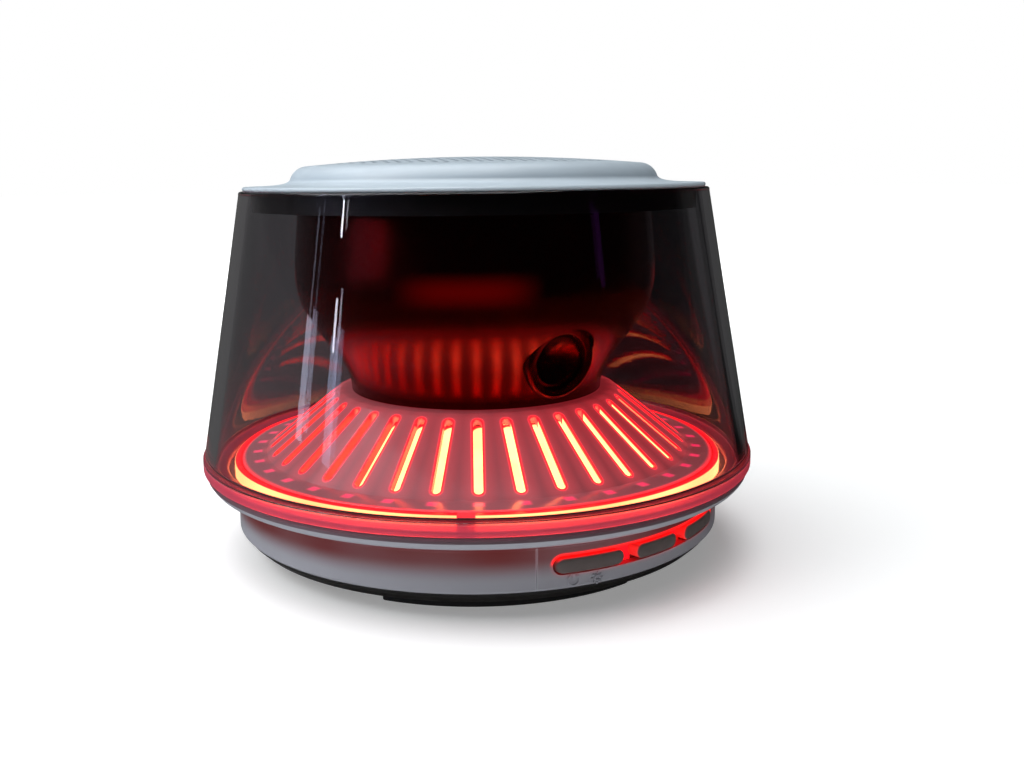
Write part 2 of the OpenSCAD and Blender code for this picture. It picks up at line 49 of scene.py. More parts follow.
MM = 0.001
TURNS = 288                       # steps round a turned piece
SHARP = math.radians(32)          # edges that bend more than this stay sharp
SAME_POINT = 1e-7                 # points closer than this, in metres, become one


def mm(node):
    """The lowest and highest corners of a CAD node, in millimetres."""
    low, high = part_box(node)
    return low / MM, high / MM


# ---- Camera ----

CAMERA_AZ = math.radians(-40.3)   # from the front, positive towards +X
CAMERA_OUT = 0.251                # from the object's axis
CAMERA_UP = 0.08646
CAMERA_PITCH = math.radians(11.22)
CAMERA_ROLL = math.radians(-0.69)
CAMERA_LENS = 37.12
CAMERA_SHIFT = 0.0351


def from_front(azimuth, out, up=0.0):
    """The point at an azimuth from the front, a distance out from the axis and a height."""
    return Vector((math.sin(azimuth) * out, -math.cos(azimuth) * out, up))


camera = bpy.data.objects.new("camera", bpy.data.cameras.new("camera"))
scene.collection.objects.link(camera)
scene.camera = camera
camera.data.lens = CAMERA_LENS
camera.data.sensor_width = 36
camera.data.shift_x = CAMERA_SHIFT
camera.data.clip_start = 0.01
camera.location = from_front(CAMERA_AZ, CAMERA_OUT, CAMERA_UP)
aim = -from_front(CAMERA_AZ, math.cos(CAMERA_PITCH), math.sin(CAMERA_PITCH))
camera.rotation_mode = "QUATERNION"
camera.rotation_quaternion = (
    aim.to_track_quat("-Z", "Y") @ Quaternion((0, 0, 1), CAMERA_ROLL)
)


# ---- Outlines, in millimetres, as (radius, height) ----


def arc(centre, radius, start, end, steps=10):
    """Points of an arc, from one angle to another, in degrees."""
    angles = [math.radians(start + (end - start) * i / steps) for i in range(steps + 1)]
    return [
        (centre[0] + radius * math.cos(a), centre[1] + radius * math.sin(a))
        for a in angles
    ]


def cubic(p0, p1, p2, p3, steps=20):
    """Points of a cubic curve from p0 to p3."""
    points = []
    for i in range(steps + 1):
        t = i / steps
        s = 1 - t
        weights = (s * s * s, 3 * s * s * t, 3 * s * t * t, t * t * t)
        points.append(
            tuple(sum(w * p[k] for w, p in zip(weights, (p0, p1, p2, p3))) for k in (0, 1))
        )
    return points


LEAST_TURN = math.radians(12)     # a corner that turns less is left as it is
LEAST_REACH = 0.01


def eased(outline, radius, steps=4):
    """A closed outline with each corner rounded off, as far as its sides allow."""
    points = [Vector(p) for p in outline]
    made = []
    for i, corner in enumerate(points):
        before, after = points[i - 1] - corner, points[(i + 1) % len(points)] - corner
        turn = math.pi - before.angle(after, math.pi)
        reach = min(radius * math.tan(turn / 2), before.length * 0.45, after.length * 0.45)
        if turn < LEAST_TURN or corner.x < LEAST_REACH or reach < LEAST_REACH:
            made.append(tuple(corner))
            continue
        start = corner + before.normalized() * reach
        end = corner + after.normalized() * reach
        for k in range(steps + 1):
            t = k / steps
            made.append(
                tuple(start * (1 - t) ** 2 + corner * 2 * t * (1 - t) + end * t * t)
            )
    return made


# ---- Meshes ----


def even_shading(piece):
    """Shades a piece by its larger faces, so that long faces beside small ones look flat."""
    piece.data.shade_smooth()
    piece.data.set_sharp_from_angle(angle=SHARP)
    modifier = piece.modifiers.new("shading", "WEIGHTED_NORMAL")
    modifier.mode = "FACE_AREA"
    modifier.weight = 90
    modifier.keep_sharp = True


def finished(bm, name, slot, body="housing", replaces=()):
    """The object made from a bmesh in metres, shaded smooth except at sharp edges."""
    bmesh.ops.remove_doubles(bm, verts=bm.verts, dist=SAME_POINT)
    bmesh.ops.recalc_face_normals(bm, faces=bm.faces)
    mesh = bpy.data.meshes.new(name)
    bm.to_mesh(mesh)
    bm.free()
    piece = bpy.data.objects.new(name, mesh)
    scene.collection.objects.link(piece)
    even_shading(piece)
    mesh.materials.append(MATERIALS[slot])
    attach(piece, body)
    if replaces:
        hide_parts(*replaces)
    return piece


def turned(outline, turns=TURNS, place=Matrix.Identity(4)):
    """A bmesh of a closed outline turned about Z, then put in place."""
    bm = bmesh.new()
    angles = [2 * math.pi * i / turns for i in range(turns)]
    loops = []
    for r, z in outline:
        if r == 0:
            loops.append([bm.verts.new(place @ Vector((0, 0, z * MM)))] * turns)
            continue
        loops.append(
            [
                bm.verts.new(place @ Vector((r * MM * math.cos(a), r * MM * math.sin(a), z * MM)))
                for a in angles
            ]
        )
    for low, high in zip(loops, loops[1:] + loops[:1]):
        for i in range(turns):
            j = (i + 1) % turns
            corners = [low[i], low[j], high[j], high[i]]
            kept = [v for k, v in enumerate(corners) if v is not corners[k - 1]]
            if len(set(kept)) >= 3:
                bm.faces.new(kept)
    return bm


def cut_by(piece, cutter_bm):
    """Takes the cutter's volume out of a piece."""
    mesh = bpy.data.meshes.new("cutter")
    bmesh.ops.recalc_face_normals(cutter_bm, faces=cutter_bm.faces)
    cutter_bm.to_mesh(mesh)
    cutter_bm.free()
    cutter = bpy.data.objects.new("cutter", mesh)
    scene.collection.objects.link(cutter)
    piece.modifiers.clear()
    modifier = piece.modifiers.new("cut", "BOOLEAN")
    modifier.operation = "DIFFERENCE"
    modifier.solver = "EXACT"
    modifier.object = cutter
    evaluated = piece.evaluated_get(bpy.context.evaluated_depsgraph_get())
    result = bpy.data.meshes.new_from_object(evaluated)
    piece.modifiers.clear()
    piece.data = result
    bpy.data.objects.remove(cutter)
    even_shading(piece)


# ---- Materials ----


class Nodes:
    """A material's node tree, with short calls for the nodes that repeat."""

    def __init__(self, name):
        self.material = bpy.data.materials.new(name)
        self.material.use_nodes = True
        self.tree = self.material.node_tree
        self.tree.nodes.clear()
        self.output = self.new("ShaderNodeOutputMaterial")
        self.shader = self.new("ShaderNodeBsdfPrincipled")
        self.link(self.shader.outputs[0], self.output.inputs[0])
        self.where = self.new("ShaderNodeTexCoord").outputs["Object"]

    def new(self, kind, **settings):
        node = self.tree.nodes.new(kind)
        for key, value in settings.items():
            setattr(node, key, value)
        return node

    def link(self, source, target):
        self.tree.links.new(source, target)

    def put(self, target, value):
        """Sets a socket to a value, or links it to another socket."""
        if isinstance(value, bpy.types.NodeSocket):
            self.link(value, target)
        else:
            target.default_value = value

    def set(self, **sockets):
        """Sets or links the shader's sockets, named with _ for a space."""
        for key, value in sockets.items():
            self.put(self.shader.inputs[key.replace("_", " ")], value)

    def math(self, operation, *values):
        node = self.new("ShaderNodeMath", operation=operation)
        for target, value in zip(node.inputs, values):
            self.put(target, value)
        return node.outputs[0]

    def product(self, *values):
        result = values[0]
        for value in values[1:]:
            result = self.math("MULTIPLY", result, value)
        return result

    def size(self, value):
        return self.math("ABSOLUTE", value)

    def length(self, x, y):
        """The length of the vector (x, y)."""
        return self.math("SQRT", self.math("ADD", self.product(x, x), self.product(y, y)))

    def split(self):
        """The point's x, y and z, in metres."""
        node = self.new("ShaderNodeSeparateXYZ")
        self.link(self.where, node.inputs[0])
        return node.outputs[0], node.outputs[1], node.outputs[2]

    def radius(self):
        """Distance from the axis, in metres."""
        x, y, _ = self.split()
        return self.length(x, y)

    def azimuth(self):
        """The angle from the front, positive towards +X."""
        x, y, _ = self.split()
        return self.math("ARCTAN2", x, self.product(y, -1.0))

    def ramp(self, value, low, high, start=0.0, end=1.0):
        """value from low to high becomes start to end, smoothly and clamped."""
        node = self.new("ShaderNodeMapRange", interpolation_type="SMOOTHSTEP")
        for target, given in zip(node.inputs, (value, low, high, start, end)):
            self.put(target, given)
        return node.outputs[0]

    def above(self, value, low, high, most=1.0):
        """0 for a length up to low, rising to most at high, both in millimetres."""
        return self.ramp(value, low * MM, high * MM, 0.0, most)

    def below(self, value, low, high, most=1.0):
        """most for a length up to low, falling to 0 at high, both in millimetres."""
        return self.ramp(value, low * MM, high * MM, most, 0.0)

    def noise(self, size, detail=2.0, stretch=(1, 1, 1)):
        """A noise from 0 to 1 whose features are about size millimetres."""
        mapping = self.new("ShaderNodeMapping")
        mapping.inputs["Scale"].default_value = stretch
        self.link(self.where, mapping.inputs["Vector"])
        node = self.new("ShaderNodeTexNoise")
        node.inputs["Scale"].default_value = 1 / (size * MM)
        node.inputs["Detail"].default_value = detail
        self.link(mapping.outputs[0], node.inputs["Vector"])
        return node.outputs["Fac"]

    def uneven(self, size, detail, low, high, spread=0.25):
        """A value that wanders from low to high over about size millimetres."""
        return self.ramp(self.noise(size, detail), 0.5 - spread, 0.5 + spread, low, high)

    def mix(self, share, first, second):
        node = self.new("ShaderNodeMix", data_type="RGBA")
        self.put(node.inputs["Factor"], share)
        for target, value in (("A", first), ("B", second)):
            socket = [s for s in node.inputs if s.name == target and s.type == "RGBA"][0]
            self.put(socket, value)
        return [s for s in node.outputs if s.type == "RGBA"][0]

    def bump(self, height, distance):
        """A bump of a height socket, distance in millimetres."""
        node = self.new("ShaderNodeBump")
        node.inputs["Strength"].default_value = 1.0
        node.inputs["Distance"].default_value = distance * MM
        self.link(height, node.inputs["Height"])
        self.link(node.outputs[0], self.shader.inputs["Normal"])


def grey(value, warmth=0.0):
    return (value * (1 + warmth), value, value * (1 - warmth), 1)


def shade(colour, factor):
    return (colour[0] * factor, colour[1] * factor, colour[2] * factor, 1)


POLISH = 0.17                     # how far a plastic's roughness strays, as a share of it


def plastic(name, colour, roughness, grain=0.25, relief=0.004):
    """A moulded plastic: soft mottling, uneven polish and a fine moulded grain."""
    n = Nodes(name)
    n.set(
        Base_Color=n.mix(n.noise(9, 3), shade(colour, 0.94), shade(colour, 1.06)),
        Roughness=n.uneven(4, 4, roughness * (1 - POLISH), roughness * (1 + POLISH)),
    )
    n.bump(n.noise(grain, 2), relief)
    return n.material


def metal(name, colour, roughness):
    """A plated or machined metal with fine scratches round it."""
    n = Nodes(name)
    lines = n.noise(0.6, 3, (1, 1, 8))
    n.set(
        Base_Color=n.mix(n.noise(3, 3), shade(colour, 0.85), shade(colour, 1.05)),
        Roughness=n.ramp(lines, 0.3, 0.7, roughness * 0.75, roughness * 1.3),
        Metallic=1.0,
    )
    n.bump(lines, 0.004)
    return n.material


def cloth(name, colour, pitch, roughness=0.85):
    """A plain weave, pitch in millimetres."""
    n = Nodes(name)
    x, y, _ = n.split()
    scale = 2 * math.pi / (pitch * MM)
    warp = n.math("SINE", n.product(x, scale))
    weft = n.math("SINE", n.product(y, scale))
    weave = n.math("MULTIPLY_ADD", n.product(warp, weft), 0.5, 0.5)
    n.set(
        Base_Color=n.mix(weave, shade(colour, 0.55), shade(colour, 1.25)),
        Roughness=n.uneven(0.5, 2, roughness * 0.9, 1.0, 0.2),
    )
    n.bump(weave, pitch * 0.15)
    return n.material


# ---- Lit materials: lamps, and surfaces with painted light or shade. Their radii, heights and distances are in millimetres ----

RED = (1.0, 0.006, 0.012, 1)
DEEP_RED = (1.0, 0.004, 0.004, 1)
# colour of the painted reflections on the deck's rim
PAINTED_REFLECTION_MAGENTA = (1.0, 0.0, 0.09, 1)
HOT = (1.0, 0.3, 0.1, 1)

SLOT_COUNT = 36
SLOT_ENDS = (34.35, 49.25)        # radii of a slot's inner and outer ends
SLOT_END_ZS = (35.8, 24.1)        # heights of the deck there
SLOT_HALF_W = 0.95
SLOPE = math.atan2(SLOT_END_ZS[0] - SLOT_END_ZS[1], SLOT_ENDS[1] - SLOT_ENDS[0])
HOT_SHIFT = 0.7                   # how far the hot line lies to one side of a slot's middle


def across_slot(n):
    """Distance to one side of the nearest slot's middle line, in metres."""
    x, y, _ = n.split()
    pitch = 2 * math.pi / SLOT_COUNT
    turn = n.math("DIVIDE", n.math("ARCTAN2", y, x), pitch)
    phase = n.math("SUBTRACT", turn, n.math("ROUND", turn))
    return n.product(phase, n.radius(), pitch)


def from_slot(n, shift=0.0):
    """Distance from the middle line of the nearest slot, moved aside by shift, in metres."""
    aside = n.math("SUBTRACT", across_slot(n), shift * MM)
    middle = sum(SLOT_ENDS) / 2
    half = (SLOT_ENDS[1] - SLOT_ENDS[0]) / 2 / math.cos(SLOPE) - SLOT_HALF_W
    out = n.size(n.math("SUBTRACT", n.radius(), middle * MM))
    along = n.math("DIVIDE", out, math.cos(SLOPE))
    past = n.math("MAXIMUM", n.math("SUBTRACT", along, half * MM), 0.0)
    return n.length(past, aside)


def slot_light(name):
    """The diffuser under the slots: hot along each slot, and red at its inner end."""
    n = Nodes(name)
    core = n.below(from_slot(n, HOT_SHIFT), 1.7, 2.2)
    hot = n.product(core, n.above(n.radius(), 31.5, 34.5))
    n.set(
        Base_Color=n.mix(core, (0.3, 0.01, 0.01, 1), (0.6, 0.03, 0.03, 1)),
        Roughness=n.uneven(2, 2, 0.45, 0.6, 0.2),
        Emission_Color=n.mix(hot, RED, HOT),
        Emission_Strength=n.product(n.ramp(hot, 0.0, 1.0, 4.0, 9.0), n.uneven(5, 2, 0.85, 1.15, 0.2)),
    )
    n.bump(n.noise(0.3, 2), 0.004)
    return n.material


def lit_deck(name):
    """The deck's glossy plastic, with painted light: a red glow round its slots and at its rim, and hot
    light on the slot walls.

    A painted magenta reflection stands on the flat rim past each slot's outer end.
    """
    n = Nodes(name)
    radius = n.radius()
    aside = across_slot(n)
    _, _, z = n.split()
    # Painted light: a red glow round each slot and at the deck's rim, and a faint glow spreading out
    # from the slots.
    painted_slot_glow = n.below(from_slot(n), 0.9, 1.75)
    red = n.math("MAXIMUM", painted_slot_glow, n.above(radius, 55.0, 55.9, 0.5))
    painted_haze = n.ramp(from_slot(n), 1.0 * MM, 6.0 * MM, 0.75, 0.3)

    # Painted hot light on the slot walls, deep in the deck.
    past_end = n.math("SUBTRACT", radius, SLOT_ENDS[0] * MM)
    cone_z = n.math("MULTIPLY_ADD", past_end, -math.tan(SLOPE), SLOT_END_ZS[0] * MM)
    deep = n.above(n.math("SUBTRACT", cone_z, z), 0.35, 0.8)
    hot = n.product(deep, n.above(aside, 0.8, 0.9), n.below(from_slot(n), 0.98, 1.02))

    # A painted magenta reflection on the flat rim, past each slot's outer end.
    painted_reflection = n.product(
        n.above(radius, 51.2, 51.9), n.below(radius, 53.2, 54.0), n.below(n.size(aside), 0.6, 1.6)
    )
    colour = (0.44, 0.4, 0.41)
    plain = n.mix(n.noise(9, 3), shade(colour, 0.95), shade(colour, 1.05))
    glow = n.mix(painted_reflection, n.mix(red, (1.0, 0.06, 0.08, 1), RED), PAINTED_REFLECTION_MAGENTA)
    strength = n.math("MULTIPLY_ADD", painted_reflection, 1.3, painted_haze)
    strength = n.math("MULTIPLY_ADD", red, 3.0, strength)
    # The base colour turns dark red under the painted glow.
    n.set(
        Base_Color=n.mix(red, plain, (0.5, 0.01, 0.015, 1)),
        Roughness=n.uneven(4, 4, 0.14, 0.2),
        Emission_Color=n.mix(hot, glow, HOT),
        Emission_Strength=n.math("MULTIPLY_ADD", hot, 5.0, strength),
    )
    n.bump(n.noise(0.3, 2), 0.0015)
    return n.material


def ring_light(name):
    """The light guide ring: hot on the side that faces outward, red on its crest."""
    n = Nodes(name)
    x, y, z = n.split()
    radius = n.radius()
    hot = n.product(n.above(radius, 57.45, 57.7), n.below(z, 22.45, 22.6))
    leds = n.math("COSINE", n.product(n.math("ARCTAN2", y, x), 12))
    wave = n.math("MULTIPLY_ADD", leds, 0.1, 0.9)
    outward = n.ramp(radius, 56.3 * MM, 57.0 * MM, 0.4, 1.0)
    n.set(
        Base_Color=n.mix(hot, (0.4, 0.01, 0.01, 1), (0.6, 0.04, 0.03, 1)),
        Roughness=n.uneven(2, 2, 0.3, 0.4, 0.2),
        Emission_Color=n.mix(hot, RED, (1.0, 0.26, 0.09, 1)),
        Emission_Strength=n.product(n.ramp(hot, 0.0, 1.0, 4.0, 7.5), wave, outward),
    )
    n.bump(n.noise(0.3, 2), 0.003)
    return n.material


BASE_R = 57.4
BUTTON_Z = 10.9
SEAM_AZ = math.radians(28.85)     # the joint of the control panel, either side of the front
ROW_Z = 11.05                     # middle height of the button row's opening
ROW_R = 2.0                       # radius of its ends
ROW_HALF_L = 22.8                 # half of the distance between their centres


def lit_wall(name, colour):
    """The base's plastic, with painted light: shade and a red glow under the flange and in the gap below
    the lens, a highlight on the panel's seam, and a red glow round the buttons.
    """
    n = Nodes(name)
    x, y, z = n.split()
    # Painted shade and a faint red glow on the wall under the flange.
    painted_shade_and_glow = n.product(n.above(z, 8.3, 13.2), n.below(z, 16.9, 17.6), n.uneven(30, 1, 0.8, 1.05, 0.2))
    aside = n.size(n.math("SUBTRACT", n.size(n.azimuth()), SEAM_AZ))
    # A painted highlight along the control panel's seam.
    painted_seam_highlight = n.product(n.ramp(aside, 0.1 / BASE_R, 0.35 / BASE_R, 0.6, 0.0), n.below(z, 15.0, 15.3))
    # Painted shade in the shadow gap under the lens's foot.
    painted_gap_shade = n.above(z, 18.75, 19.0, 0.85)

    # A painted red glow on the wall just above the row of buttons.
    along = n.math("MAXIMUM", n.math("SUBTRACT", n.size(x), ROW_HALF_L * MM), 0.0)
    up = n.math("SUBTRACT", z, ROW_Z * MM)
    at_row = n.below(n.length(along, up), ROW_R + 0.05, ROW_R + 0.75)
    upper = n.ramp(up, -0.4 * MM, 1.4 * MM, 0.05, 1.0)
    painted_lip_glow = n.product(at_row, upper, n.below(y, -45, -40))

    plain = n.mix(n.noise(9, 3), shade(colour, 0.97), shade(colour, 1.03))
    with_painted_light = n.mix(n.product(painted_shade_and_glow, 0.95), plain, (0.07, 0.02, 0.02, 1))
    with_painted_light = n.mix(painted_lip_glow, with_painted_light, (0.3, 0.01, 0.01, 1))
    with_painted_light = n.mix(painted_gap_shade, with_painted_light, (0.07, 0.025, 0.035, 1))
    n.set(
        Base_Color=n.mix(painted_seam_highlight, with_painted_light, shade(colour, 1.3)),
        Roughness=n.uneven(4, 4, 0.32, 0.4),
        Emission_Color=DEEP_RED,
        Emission_Strength=n.math("MULTIPLY_ADD", painted_lip_glow, 1.6, n.product(painted_shade_and_glow, 0.07)),
    )
    n.bump(n.noise(0.3, 2), 0.002)
    return n.material


def lit_button(name, colour):
    """The buttons' rubbery plastic, with a painted red glow on their sides where light from behind would
    reach them.
    """
    n = Nodes(name)
    x, _, z = n.split()
    across = n.size(x)
    # Painted red glow on the buttons' sides: their upper parts, and the sides that face the gaps between
    # them.
    flank = n.below(n.radius(), BASE_R + 0.02, BASE_R + 0.22)
    upper = n.ramp(z, (BUTTON_Z + 0.7) * MM, (BUTTON_Z + 1.5) * MM, 0.02, 1.0)
    between = n.product(n.above(across, 5.2, 6.0), n.below(across, 10.2, 11.0))
    lit = n.product(flank, n.math("MAXIMUM", upper, between))
    n.set(
        Base_Color=n.mix(n.noise(3, 3), shade(colour, 0.92), shade(colour, 1.08)),
        Roughness=n.uneven(2, 3, 0.42, 0.55),
        Emission_Color=DEEP_RED,
        Emission_Strength=n.product(lit, 0.8),
    )
    n.bump(n.noise(0.3, 2), 0.004)
    return n.material


GLOW_COUNT = 4
GLOW_AZ = math.radians(-42.5)     # middle of one of the painted patches of glow on the column
GLOW_Z = 63.4
GLOW_HALF_H = 4.4


def lit_column(name):
    """Glossy black plastic, with soft painted patches of red light round its widest part."""
    n = Nodes(name)
    _, _, z = n.split()
    # Painted red light: four soft patches round the column's widest part.
    turn = n.product(n.math("SUBTRACT", n.azimuth(), GLOW_AZ), float(GLOW_COUNT))
    patches = n.ramp(n.math("COSINE", turn), 0.0, 1.0)
    away = n.size(n.math("SUBTRACT", z, GLOW_Z * MM))
    glow = n.product(patches, n.below(away, 0.0, GLOW_HALF_H))
    n.set(
        Base_Color=n.mix(n.noise(9, 3), (0.0055, 0.001, 0.001, 1), (0.0065, 0.001, 0.001, 1)),
        Roughness=n.uneven(4, 4, 0.25, 0.27),
        Emission_Color=(1.0, 0.0, 0.0, 1),
        Emission_Strength=n.product(glow, 0.12),
        IOR=1.85,
        Specular_Tint=(1.0, 0.0, 0.004, 1),
    )
    n.bump(n.noise(1.5, 2), 0.0005)
    return n.material


LENS_TINT = (0.585, 0.57, 0.6)


def smoked(name):
    """Smoke-tinted clear plastic. Its foot is frosted, and its red colour and faint glow there are
    painted light from the ring below.
    """
    n = Nodes(name)
    _, _, z = n.split()
    foot = n.below(z, 22.7, 23.2)
    smear = n.noise(14, 3, (1, 1, 0.4))
    tint = n.mix(smear, shade(LENS_TINT, 0.96), shade(LENS_TINT, 1.04))
    # The foot's red colour and faint glow are painted light.
    n.set(
        Base_Color=n.mix(foot, tint, (0.52, 0.075, 0.15, 1)),
        Roughness=n.ramp(foot, 0.0, 1.0, n.ramp(smear, 0.35, 0.75, 0.004, 0.02), 0.32),
        Emission_Color=n.mix(smear, (1.0, 0.035, 0.06, 1), (1.0, 0.06, 0.08, 1)),
        Emission_Strength=n.product(foot, 0.16),
        Transmission_Weight=n.ramp(foot, 0.0, 1.0, 1.0, 0.6),
        IOR=1.31,
    )
    # Lamps shine through it: a shadow ray meets a plain transparent surface
    path = n.new("ShaderNodeLightPath")
    clear = n.new("ShaderNodeBsdfTransparent")
    clear.inputs["Color"].default_value = (0.8, 0.79, 0.81, 1)
    both = n.new("ShaderNodeMixShader")
    n.link(path.outputs["Is Shadow Ray"], both.inputs[0])
    n.link(n.shader.outputs[0], both.inputs[1])
    n.link(clear.outputs[0], both.inputs[2])
    n.link(both.outputs[0], n.output.inputs[0])
    return n.material


MATERIALS = {
    "foot_rubber": plastic("foot_rubber", grey(0.02), 0.8, 0.5, 0.02),
    "dark_plastic": plastic("dark_plastic", grey(0.022, 0.06), 0.42, 0.3, 0.008),
    "screw_steel": metal("screw_steel", grey(0.6, 0.01), 0.3),
    "white_plastic": lit_wall("white_plastic", (0.325, 0.33, 0.37)),
    "button_plastic": lit_button("button_plastic", (0.125, 0.1, 0.095)),
    "light_guide": ring_light("light_guide"),
    "circuit_board": plastic("circuit_board", (0.02, 0.12, 0.05), 0.35, 0.8, 0.01),
    "black_plastic": plastic("black_plastic", grey(0.02), 0.45, 0.3, 0.006),
    "battery_foil": metal("battery_foil", grey(0.62), 0.35),
    "component_black": plastic("component_black", grey(0.03), 0.4, 0.3, 0.005),
    "socket_steel": metal("socket_steel", grey(0.65), 0.25),
    "led_board_white": plastic("led_board_white", grey(0.75), 0.4, 0.6, 0.005),
    "led_package": plastic("led_package", (0.9, 0.6, 0.5), 0.3, 0.3, 0.003),
    "diffuser": slot_light("diffuser"),
    "deck_plastic": lit_deck("deck_plastic"),
    "gasket_rubber": plastic("gasket_rubber", grey(0.02), 0.75, 0.5, 0.015),
    "smoked_lens": smoked("smoked_lens"),
    "black_gloss": lit_column("black_gloss"),
    "magnet_steel": metal("magnet_steel", grey(0.5), 0.35),
    "ferrite": plastic("ferrite", grey(0.03), 0.6, 0.4, 0.01),
    "copper_coil": metal("copper_coil", (0.75, 0.35, 0.18), 0.3),
    "cone_paper": cloth("cone_paper", grey(0.03), 0.7),
    "surround_rubber": plastic("surround_rubber", grey(0.018), 0.6, 0.5, 0.01),
    "spider_cloth": cloth("spider_cloth", (0.6, 0.42, 0.16), 0.8),
    "terminal_brass": metal("terminal_brass", (0.75, 0.58, 0.28), 0.3),
    "black_screw": metal("black_screw", grey(0.08), 0.35),
    "top_white_plastic": plastic("top_white_plastic", (0.44, 0.51, 0.57), 0.42, 0.22, 0.003),
    "grille_fabric": cloth("grille_fabric", grey(0.03), 0.5),
    "wire_insulation": plastic("wire_insulation", (0.3, 0.03, 0.03), 0.4, 0.6, 0.004),
}

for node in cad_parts.values():
    for holder in node.material_slots:
        holder.material = MATERIALS[holder.material.name.split(".")[0]]


# ---- Lens ----

lens_low, lens_high = mm("lens")
WIDEST_R = lens_high.x
LENS_FOOT_Z, LENS_TOP_Z = lens_low.z, lens_high.z
LENS_TOP_R = 53.9
LENS_WALL = 2.4

lens_outline = (
    [(59.2, LENS_FOOT_Z), (WIDEST_R - 0.7, LENS_FOOT_Z)]
    + arc((WIDEST_R - 0.7, LENS_FOOT_Z + 0.7), 0.7, -80, 0)
    + [(WIDEST_R - 0.02, 23.15), (WIDEST_R - 0.2, 23.3), (WIDEST_R - 0.45, 23.3)]
    + [(WIDEST_R - 0.45, 23.5), (LENS_TOP_R, LENS_TOP_Z - 0.9)]
    + arc((LENS_TOP_R - 0.6, LENS_TOP_Z - 0.6), 0.6, 15, 90)
    + [(LENS_TOP_R - LENS_WALL, LENS_TOP_Z), (WIDEST_R - 0.6 - LENS_WALL, 23.5)]
    + [(61.2, 22.5), (59.6, 21.9), (59.2, 21.5)]
)
finished(turned(eased(lens_outline, 0.4)), "lens_shell", "smoked_lens", replaces=["lens"])


# ---- Column ----

column_low, column_high = mm("siren_column")
DECK_TOP_Z, COLUMN_TOP_Z = column_low.z, column_high.z
COLUMN_WALL = 2.6
DISH_OUT, DISH_UP = 33.4, 47.2    # centre of the dish's ring
DISH_TILT = math.radians(12)      # how far its axis dips below the level
DISH_AZ = math.radians(-9)
DISH_R = 8.4
DISH_TURNS = 128
CUTTER_TURNS = 96

column_skin = (
    cubic((29.85, DECK_TOP_Z), (30.2, 47), (40.5, 50), (42, 62), 40)
    + cubic((42, 62), (42.4, 67), (41.3, 74), (40.7, COLUMN_TOP_Z), 16)[1:]
)
COLUMN_LID = COLUMN_TOP_Z - 2.4   # the underside of the column's top
COLUMN_FLOOR = 39.4               # the upper side of its foot
column_inside = [
    (r - COLUMN_WALL, z) for r, z in column_skin if COLUMN_FLOOR + 0.1 < z < COLUMN_LID - 0.1
]
column_outline = (
    column_skin
    + [(33.6, COLUMN_TOP_Z), (33.6, COLUMN_LID), (38.4, COLUMN_LID)]
    + column_inside[::-1]
    + [(27.8, COLUMN_FLOOR), (25, COLUMN_FLOOR), (25, DECK_TOP_Z)]
)
column_shell = finished(turned(column_outline), "column_shell", "black_gloss", replaces=["siren_column"])
dish_place = (
    Matrix.Rotation(DISH_AZ, 4, "Z")
    @ Matrix.Translation(Vector((0, -DISH_OUT, DISH_UP)) * MM)
    @ Matrix.Rotation(math.pi / 2 + DISH_TILT, 4, "X")
)
cutter_outline = [
    (0, -7), (DISH_R - 1, -7), (DISH_R - 1, 0.1), (DISH_R + 0.1, 0.1), (DISH_R + 0.1, 9), (0, 9)
]
cut_by(column_shell, turned(cutter_outline, CUTTER_TURNS, dish_place))

dish_outline = [(0, -4.2), (DISH_R - 2.3, -4.2), (DISH_R - 2.3, 0.2)] + cubic(
    (DISH_R - 2.9, 0.2), (5.4, -0.2), (3.4, -2.7), (0, -2.9), 24
)
finished(
    turned(dish_outline, DISH_TURNS, dish_place), "dish_cup", "black_gloss", replaces=["column_dish"]
)
ring_outline = (
    [(DISH_R - 2.2, -3), (DISH_R - 1.1, -3), (DISH_R - 1.1, 0.1), (DISH_R, 0.1)]
    + arc((DISH_R - 0.8, 0.9), 0.8, 0, 90)
    + [(DISH_R - 2, 1.4), (DISH_R - 2.2, 0.9)]
)
finished(
    turned(eased(ring_outline, 0.2), DISH_TURNS, dish_place),
    "dish_ring",
    "black_gloss",
    replaces=["column_dish_ring"],
)


# ---- Cap ----

FLANGE_Z = mm("top_cover")[0].z
CROWN_Z = mm("grille_plate")[1].z
GRILLE_R = 36.6
GRILLE_T = 1.0
SHOULDER = (38.2, 84.5)
SHOULDER_R = 4.25
CROWN_EDGE = (38.2, 88.75)
CROWN_R = (CROWN_EDGE[0] ** 2 + (CROWN_Z - CROWN_EDGE[1]) ** 2) / (2 * (CROWN_Z - CROWN_EDGE[1]))


def crown(r, drop=0.0):
    """Height of the crown at a radius."""
    return CROWN_Z - drop - CROWN_R + math.sqrt(CROWN_R ** 2 - r * r)


cap_outline = (
    [(40.9, FLANGE_Z), (52.7, FLANGE_Z)]
    + arc((52.5, FLANGE_Z + 0.5), 0.5, -50, 84, 8)
    + cubic((48.4, 84.42), (44.4, 84.6), (42.75, 84.9), (42.24, 85.81), 12)
    + arc(SHOULDER, SHOULDER_R, 21, 86, 16)
    + [(GRILLE_R + 0.12, crown(GRILLE_R)), (GRILLE_R + 0.05, crown(GRILLE_R, 0.1))]
    + [(GRILLE_R + 0.05, crown(GRILLE_R, GRILLE_T)), (35.2, 87.9), (35.2, 87.2)]
    + arc(SHOULDER, SHOULDER_R - 1.6, 88, 5, 8)
)
finished(turned(cap_outline), "cap_shell", "top_white_plastic", replaces=["top_cover"])

HOLE_PITCH = 2.6
HOLE_ROW = HOLE_PITCH * math.sqrt(3) / 2
HOLE_R = 0.62
HOLE_STEPS = 12
HOLE_MARGIN = 1.2                 # from the outermost holes to the edge


